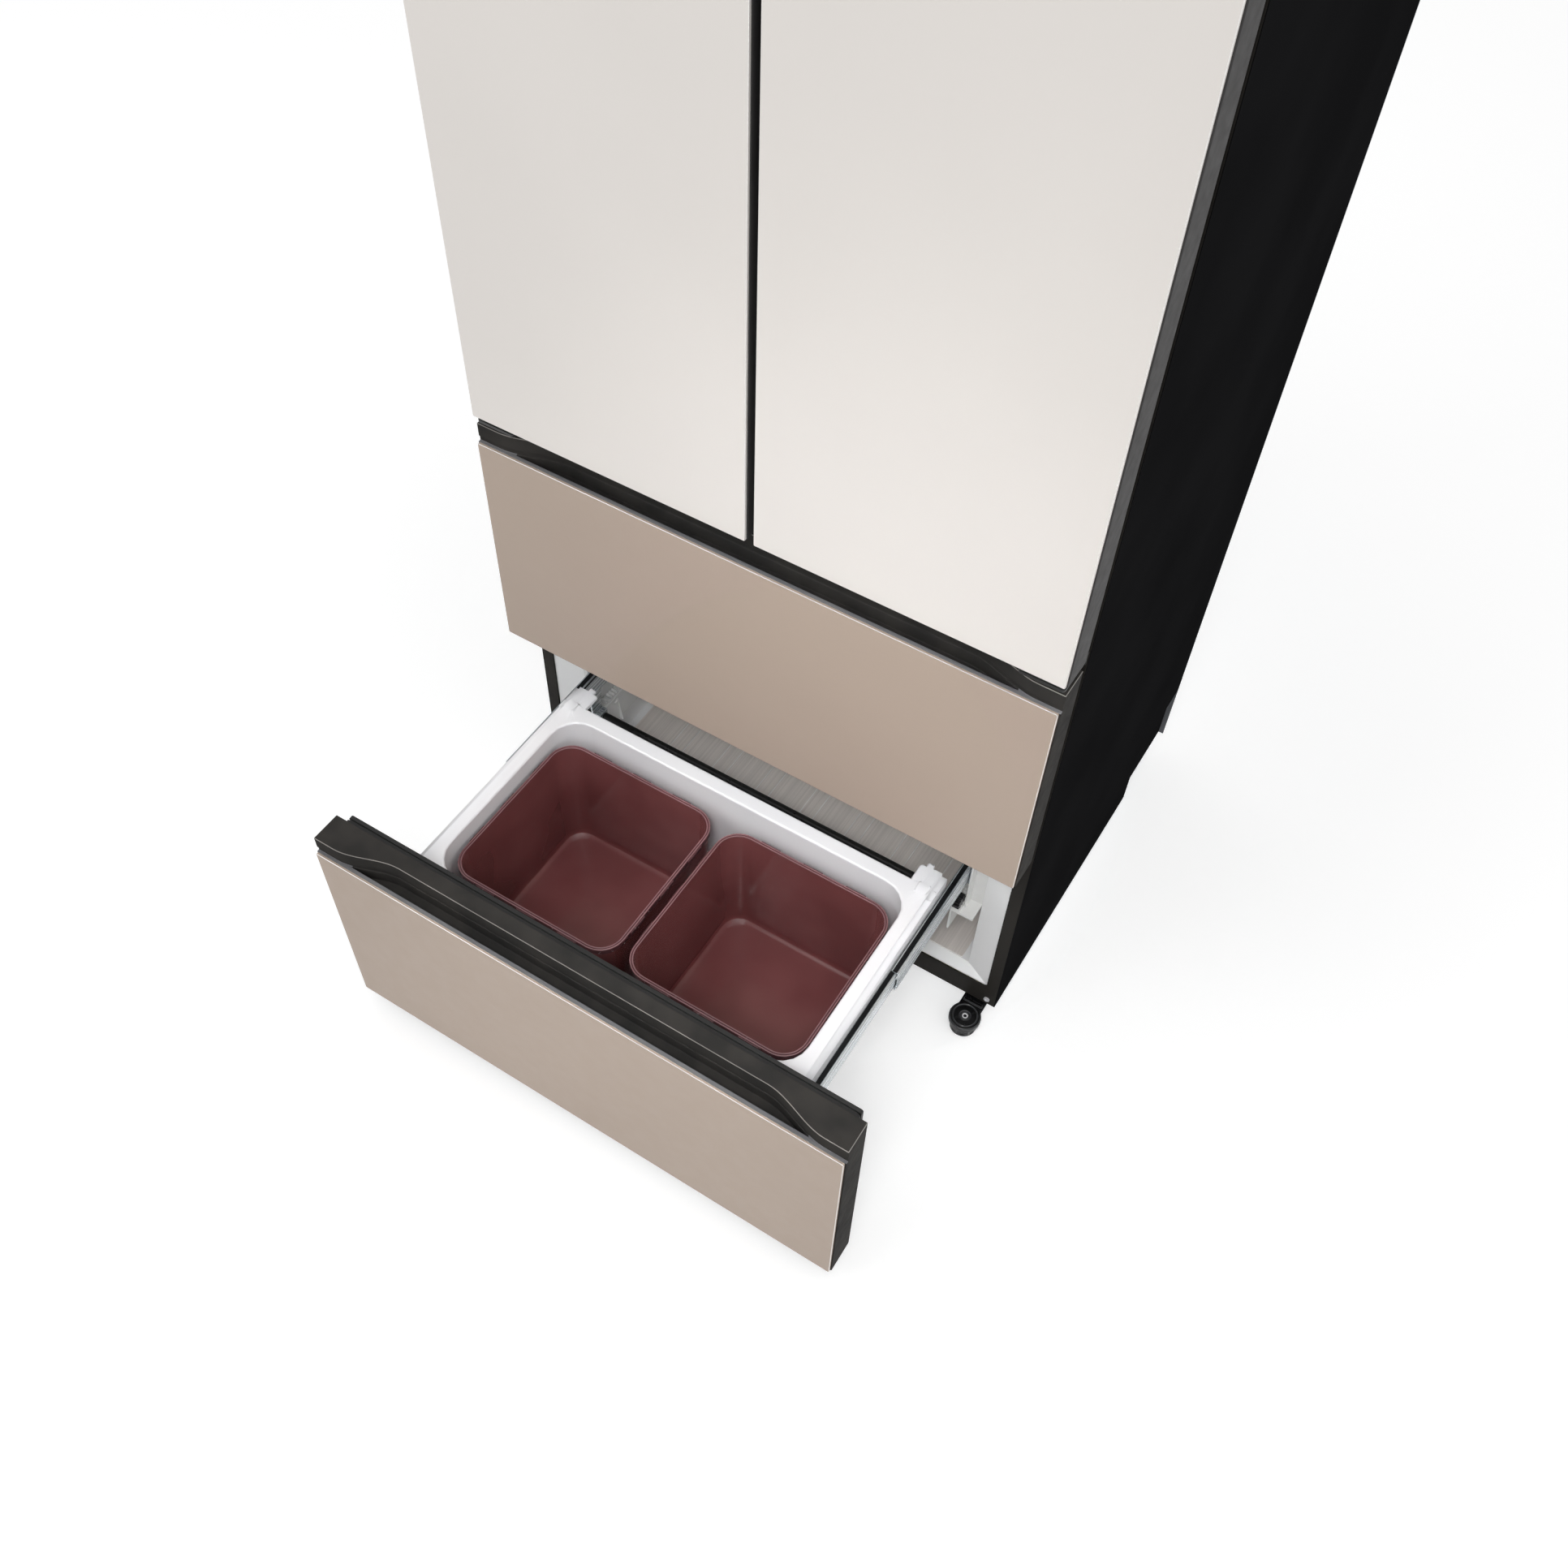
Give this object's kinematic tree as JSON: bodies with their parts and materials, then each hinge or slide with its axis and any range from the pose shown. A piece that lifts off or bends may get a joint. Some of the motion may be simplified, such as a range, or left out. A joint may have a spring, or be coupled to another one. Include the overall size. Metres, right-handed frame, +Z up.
{
  "type": "kimchi refrigerator",
  "caption": "Kitchen-fit kimchi refrigerator with side-by-side upper doors over telescopic drawers; the lower drawer stands open with its lidless bins.",
  "frame": {"origin": "on the floor under the centre of the bounding box, with the lower drawer standing open as at rest", "axes": "+Z up, +X to the right seen from the front, -Y out of the doors"},
  "size_m": [0.795, 1.099, 1.853],
  "materials": {
    "side_steel": "satin",
    "zinc_sheet": "satin",
    "foam": "matte",
    "white_liner": "satin",
    "frame_dark": "satin",
    "brushed_plate": "satin",
    "shelf_glass": "gloss",
    "hinge_black": "satin",
    "trim_plastic": "matte",
    "machine_black": "satin",
    "fan_plastic": "matte",
    "cover_grey": "matte",
    "foot_black": "satin",
    "screw_chrome": "polished",
    "roller_plastic": "matte",
    "cream_panel": "satin",
    "clay_panel": "matte",
    "clear_bin": "gloss",
    "gasket_black": "matte",
    "cap_plastic": "matte",
    "white_tray": "gloss",
    "maroon_bin": "satin",
    "slide_steel": "satin",
    "rack_plastic": "satin",
    "shaft_black": "satin"
  },
  "bodies": {
    "cabinet": {"cabinet_shell": "side_steel", "back_panel": "zinc_sheet", "base_pan": "zinc_sheet", "cabinet_foam": "foam", "upper_left_liner": "white_liner", "upper_right_liner": "white_liner", "middle_liner": "white_liner", "lower_liner": "white_liner", "front_frame": "frame_dark", "lower_floor_plate": "brushed_plate", "upper_shelves": "shelf_glass", "top_hinges": "zinc_sheet", "centre_hinges": "hinge_black", "hinge_covers": "trim_plastic", "compressor": "machine_black", "condenser": "machine_black", "fan_motor": "machine_black", "machine_cover": "cover_grey", "foot_brackets": "foot_black", "frame_screws": "screw_chrome", "lower_outer_slides": "slide_steel", "lower_racks": "rack_plastic", "middle_outer_slides": "slide_steel", "middle_racks": "rack_plastic"},
    "left_door": {"left_door_panel": "cream_panel", "left_door_case": "trim_plastic", "left_door_foam": "foam", "left_door_liner": "white_liner", "left_door_bins": "clear_bin", "left_door_gasket": "gasket_black"},
    "right_door": {"right_door_panel": "cream_panel", "right_door_case": "trim_plastic", "right_door_foam": "foam", "right_door_liner": "white_liner", "right_door_bins": "clear_bin", "right_door_gasket": "gasket_black"},
    "middle_drawer": {"middle_drawer_panel": "clay_panel", "middle_drawer_case": "cap_plastic", "middle_drawer_foam": "foam", "middle_drawer_gasket": "gasket_black", "middle_tray": "white_tray", "middle_bins": "maroon_bin", "middle_inner_slides": "slide_steel"},
    "lower_drawer": {"lower_drawer_panel": "clay_panel", "lower_drawer_case": "cap_plastic", "lower_drawer_foam": "foam", "lower_drawer_gasket": "gasket_black", "lower_tray": "white_tray", "lower_left_bin": "maroon_bin", "lower_right_bin": "maroon_bin", "lower_inner_slides": "slide_steel"},
    "middle_slide_link": {"middle_mid_slides": "slide_steel"},
    "lower_slide_link": {"lower_mid_slides": "slide_steel"},
    "middle_shaft": {"middle_sync_shaft": "shaft_black"},
    "lower_shaft": {"lower_sync_shaft": "shaft_black"},
    "fan": {"condenser_fan": "fan_plastic"},
    "left_foot_screw": {"left_foot": "foot_black"},
    "right_foot_screw": {"right_foot": "foot_black"},
    "left_wheel": {"left_roller": "roller_plastic"},
    "right_wheel": {"right_roller": "roller_plastic"}
  },
  "joints": [
    {"name": "left_door_hinge", "type": "hinge", "parent": "cabinet", "child": "left_door", "pos_m": [-0.386, -0.1185, 0.818], "axis": [0, 0, -1], "range_deg": [0, 110]},
    {"name": "right_door_hinge", "type": "hinge", "parent": "cabinet", "child": "right_door", "pos_m": [0.386, -0.1185, 0.818], "axis": [0, 0, 1], "range_deg": [0, 110]},
    {"name": "middle_drawer_slide", "type": "slide", "parent": "cabinet", "child": "middle_drawer", "axis": [0, -1, 0], "range_m": [0, 0.414]},
    {"name": "lower_drawer_slide", "type": "slide", "parent": "cabinet", "child": "lower_drawer", "axis": [0, -1, 0], "range_m": [-0.411, 0.003]},
    {"name": "middle_link_slide", "type": "slide", "parent": "cabinet", "child": "middle_slide_link", "axis": [0, -1, 0], "range_m": [-0.0005, 0.2075]},
    {"name": "lower_link_slide", "type": "slide", "parent": "cabinet", "child": "lower_slide_link", "axis": [0, -1, 0], "range_m": [-0.206, 0.002]},
    {"name": "middle_shaft_spin", "type": "hinge", "parent": "middle_drawer", "child": "middle_shaft", "pos_m": [0, 0.3315, 0.646], "axis": [1, 0, 0], "range_deg": [-5, 2380]},
    {"name": "lower_shaft_spin", "type": "hinge", "parent": "lower_drawer", "child": "lower_shaft", "pos_m": [0, -0.0795, 0.258], "axis": [1, 0, 0], "range_deg": [-2360, 22]},
    {"name": "fan_spin", "type": "hinge", "parent": "cabinet", "child": "fan", "pos_m": [-0.06, 0.429, 0.098], "axis": [1, 0, 0], "continuous": true},
    {"name": "left_foot_turn", "type": "hinge", "parent": "cabinet", "child": "left_foot_screw", "pos_m": [-0.3665, -0.1075, 0.01], "axis": [0, 0, 1], "range_deg": [-180, 180]},
    {"name": "right_foot_turn", "type": "hinge", "parent": "cabinet", "child": "right_foot_screw", "pos_m": [0.3665, -0.1075, 0.01], "axis": [0, 0, 1], "range_deg": [-180, 180]},
    {"name": "left_wheel_roll", "type": "hinge", "parent": "cabinet", "child": "left_wheel", "pos_m": [-0.3375, 0.4845, 0.017], "axis": [1, 0, 0], "continuous": true},
    {"name": "right_wheel_roll", "type": "hinge", "parent": "cabinet", "child": "right_wheel", "pos_m": [0.3375, 0.4845, 0.017], "axis": [1, 0, 0], "continuous": true}
  ],
  "couplings": [
    {"joint": "middle_link_slide", "follows": "middle_drawer_slide", "ratio": 0.5},
    {"joint": "lower_link_slide", "follows": "lower_drawer_slide", "ratio": 0.5},
    {"joint": "middle_shaft_spin", "follows": "middle_drawer_slide", "rad_per_m": 100},
    {"joint": "lower_shaft_spin", "follows": "lower_drawer_slide", "rad_per_m": 100}
  ]
}
